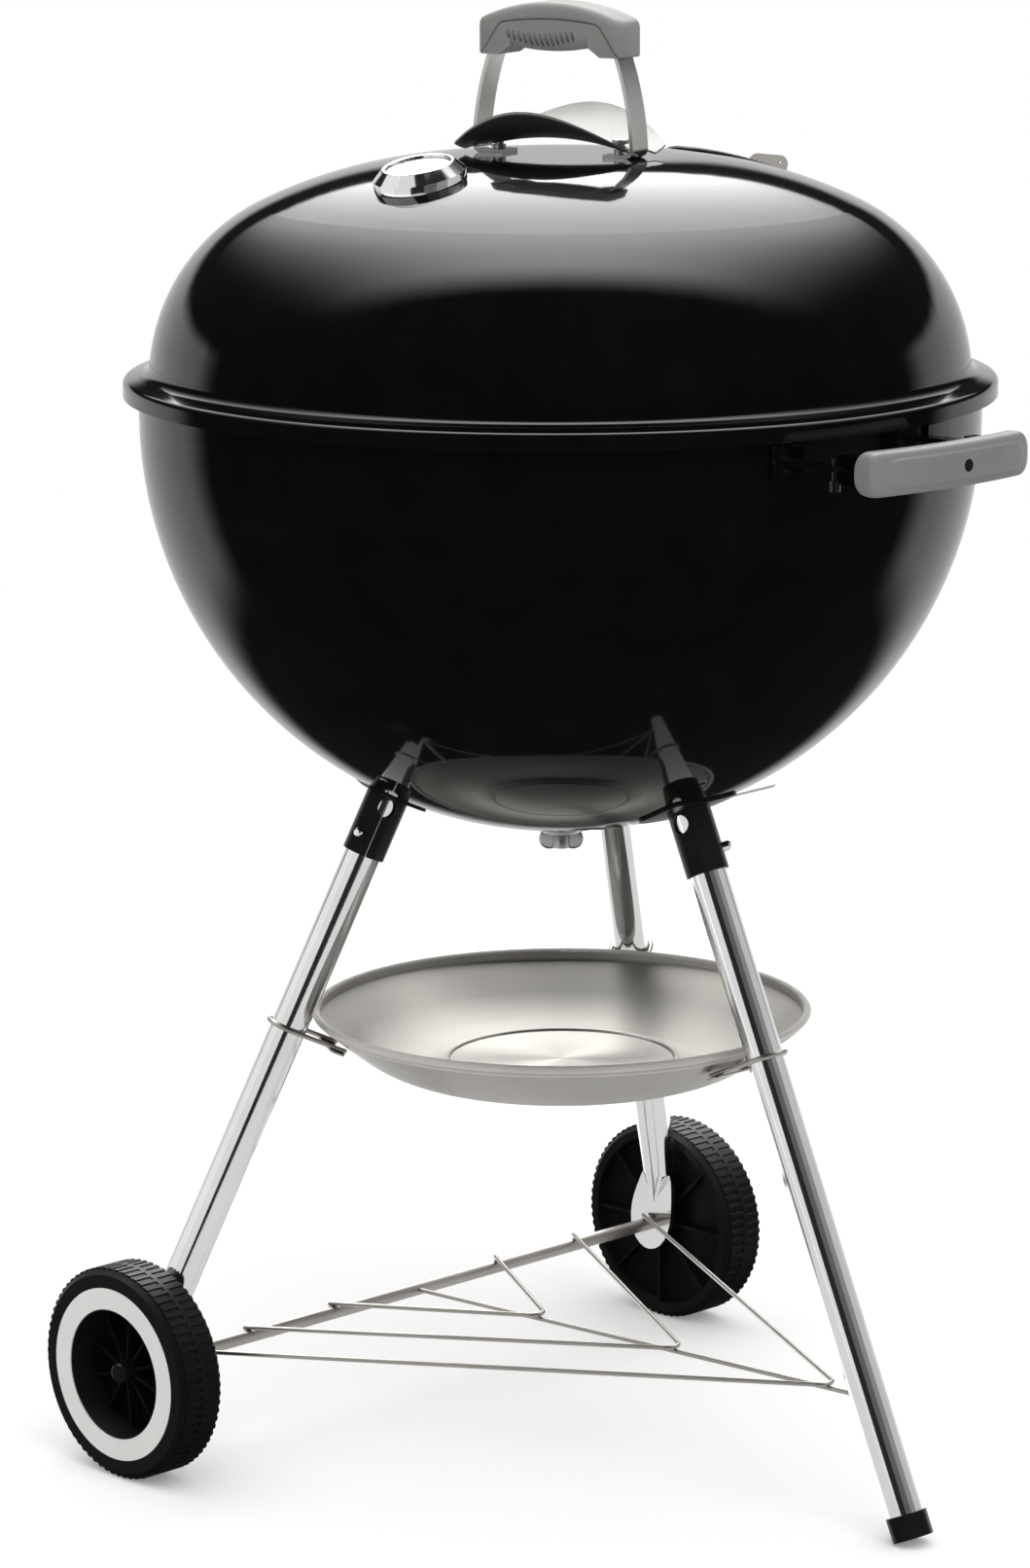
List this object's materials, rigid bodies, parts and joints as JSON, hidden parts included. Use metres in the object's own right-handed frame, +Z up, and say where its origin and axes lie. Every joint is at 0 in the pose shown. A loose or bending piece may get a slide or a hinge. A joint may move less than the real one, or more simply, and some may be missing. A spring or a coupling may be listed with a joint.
{
  "type": "kettle charcoal grill",
  "caption": "Kettle charcoal grill: domed lid and bowl on splayed tube legs with wheels, ash pan, wire rack, grates, thermometer and dampers.",
  "frame": {"origin": "on the floor, under the kettle's vertical axis", "axes": "+Z up, -Y towards the leg with the foot cap and the bowl handle, +X along the wheel axle to the right of someone who faces +Y"},
  "size_m": [0.5931, 0.6534, 1.004],
  "materials": {
    "enamel": "gloss",
    "nylon": "satin",
    "chrome": "polished",
    "black_steel": "satin",
    "black_plastic": "gloss",
    "wheel_plastic": "matte",
    "white_trim": "satin",
    "aluminium": "brushed",
    "plated_wire": "satin",
    "steel": "satin",
    "glass": "clear",
    "dial": "matte",
    "needle": "satin"
  },
  "bodies": {
    "stand": {"bowl": "enamel", "leg_socket_front": "black_steel", "leg_socket_left": "black_steel", "leg_socket_right": "black_steel", "leg_front": "chrome", "leg_left": "chrome", "leg_right": "chrome", "foot_cap": "black_plastic", "button_springs": "steel", "bowl_handle": "nylon", "bowl_handle_brackets": "black_steel", "bowl_handle_screws": "steel", "grate_supports": "black_steel", "cleaner_bush": "steel", "axle": "plated_wire", "rack_tube": "plated_wire", "rack_spine": "plated_wire", "rack_wire_outer": "plated_wire", "rack_wire_middle": "plated_wire", "rack_wire_inner": "plated_wire", "pan_hook_front": "plated_wire", "pan_hook_left": "plated_wire", "pan_hook_right": "plated_wire", "pan_clips": "plated_wire", "hub_cap_left": "black_plastic", "hub_cap_right": "black_plastic"},
    "lid": {"lid_shell": "enamel", "lid_handle_grip": "nylon", "lid_handle_insert": "nylon", "lid_strap_front": "chrome", "lid_strap_rear": "chrome", "heat_shield": "chrome", "handle_screws": "steel", "handle_nuts": "steel", "thermometer_bezel": "chrome", "thermometer_glass": "glass", "thermometer_dial": "dial", "thermometer_stem": "steel", "thermometer_nut": "steel", "damper_rivet": "aluminium", "lid_hook": "steel"},
    "damper": {"lid_damper": "aluminium"},
    "needle": {"thermometer_needle": "needle"},
    "cleaner": {"cleaner_blades": "steel", "cleaner_shaft": "steel", "cleaner_lever": "steel", "wing_nut": "steel"},
    "left_wheel": {"wheel_left": "wheel_plastic", "wheel_ring_left": "white_trim"},
    "right_wheel": {"wheel_right": "wheel_plastic", "wheel_ring_right": "white_trim"},
    "ash_pan": {"ash_pan": "aluminium"},
    "cooking_grate": {"cooking_grate": "plated_wire"},
    "charcoal_grate": {"charcoal_grate": "steel"},
    "front_button": {"leg_button_front": "chrome"},
    "left_button": {"leg_button_left": "chrome"},
    "right_button": {"leg_button_right": "chrome"}
  },
  "joints": [
    {"name": "lid_lift", "type": "slide", "parent": "stand", "child": "lid", "axis": [0, 0, 1], "range_m": [0, 0.3]},
    {"name": "lid_damper_turn", "type": "hinge", "parent": "lid", "child": "damper", "pos_m": [0.165, 0, 0.88479], "axis": [0.3129, 0, 0.9498], "range_deg": [0, 45]},
    {"name": "thermometer_turn", "type": "hinge", "parent": "lid", "child": "needle", "pos_m": [-0.13777, -0.0077, 0.89918], "axis": [0.2243, 0.0125, -0.9745], "range_deg": [0, 270], "stiffness_Nm_per_rad": 0.0005},
    {"name": "cleaner_turn", "type": "hinge", "parent": "stand", "child": "cleaner", "pos_m": [0, 0, 0.437], "axis": [0, 0, 1], "range_deg": [-70, 15]},
    {"name": "left_wheel_spin", "type": "hinge", "parent": "stand", "child": "left_wheel", "pos_m": [-0.26, 0.14957, 0.0743], "axis": [1, 0, 0], "continuous": true},
    {"name": "right_wheel_spin", "type": "hinge", "parent": "stand", "child": "right_wheel", "pos_m": [0.26, 0.14957, 0.0743], "axis": [1, 0, 0], "continuous": true},
    {"name": "ash_pan_lift", "type": "slide", "parent": "stand", "child": "ash_pan", "axis": [0, 0, 1], "range_m": [0, 0.008]},
    {"name": "cooking_grate_lift", "type": "slide", "parent": "stand", "child": "cooking_grate", "axis": [0, 0, 1], "range_m": [0, 0.018]},
    {"name": "charcoal_grate_lift", "type": "slide", "parent": "stand", "child": "charcoal_grate", "axis": [0, 0, 1], "range_m": [0, 0.15]},
    {"name": "front_button_press", "type": "slide", "parent": "stand", "child": "front_button", "axis": [-0.7071, 0.6448, -0.2903], "range_m": [0, 0.005], "stiffness_N_per_m": 600, "springref_m": -0.002},
    {"name": "right_button_press", "type": "slide", "parent": "stand", "child": "right_button", "axis": [-0.2048, -0.9348, -0.2903], "range_m": [0, 0.005], "stiffness_N_per_m": 600, "springref_m": -0.002},
    {"name": "left_button_press", "type": "slide", "parent": "stand", "child": "left_button", "axis": [0.9119, 0.29, -0.2903], "range_m": [0, 0.005], "stiffness_N_per_m": 600, "springref_m": -0.002}
  ]
}
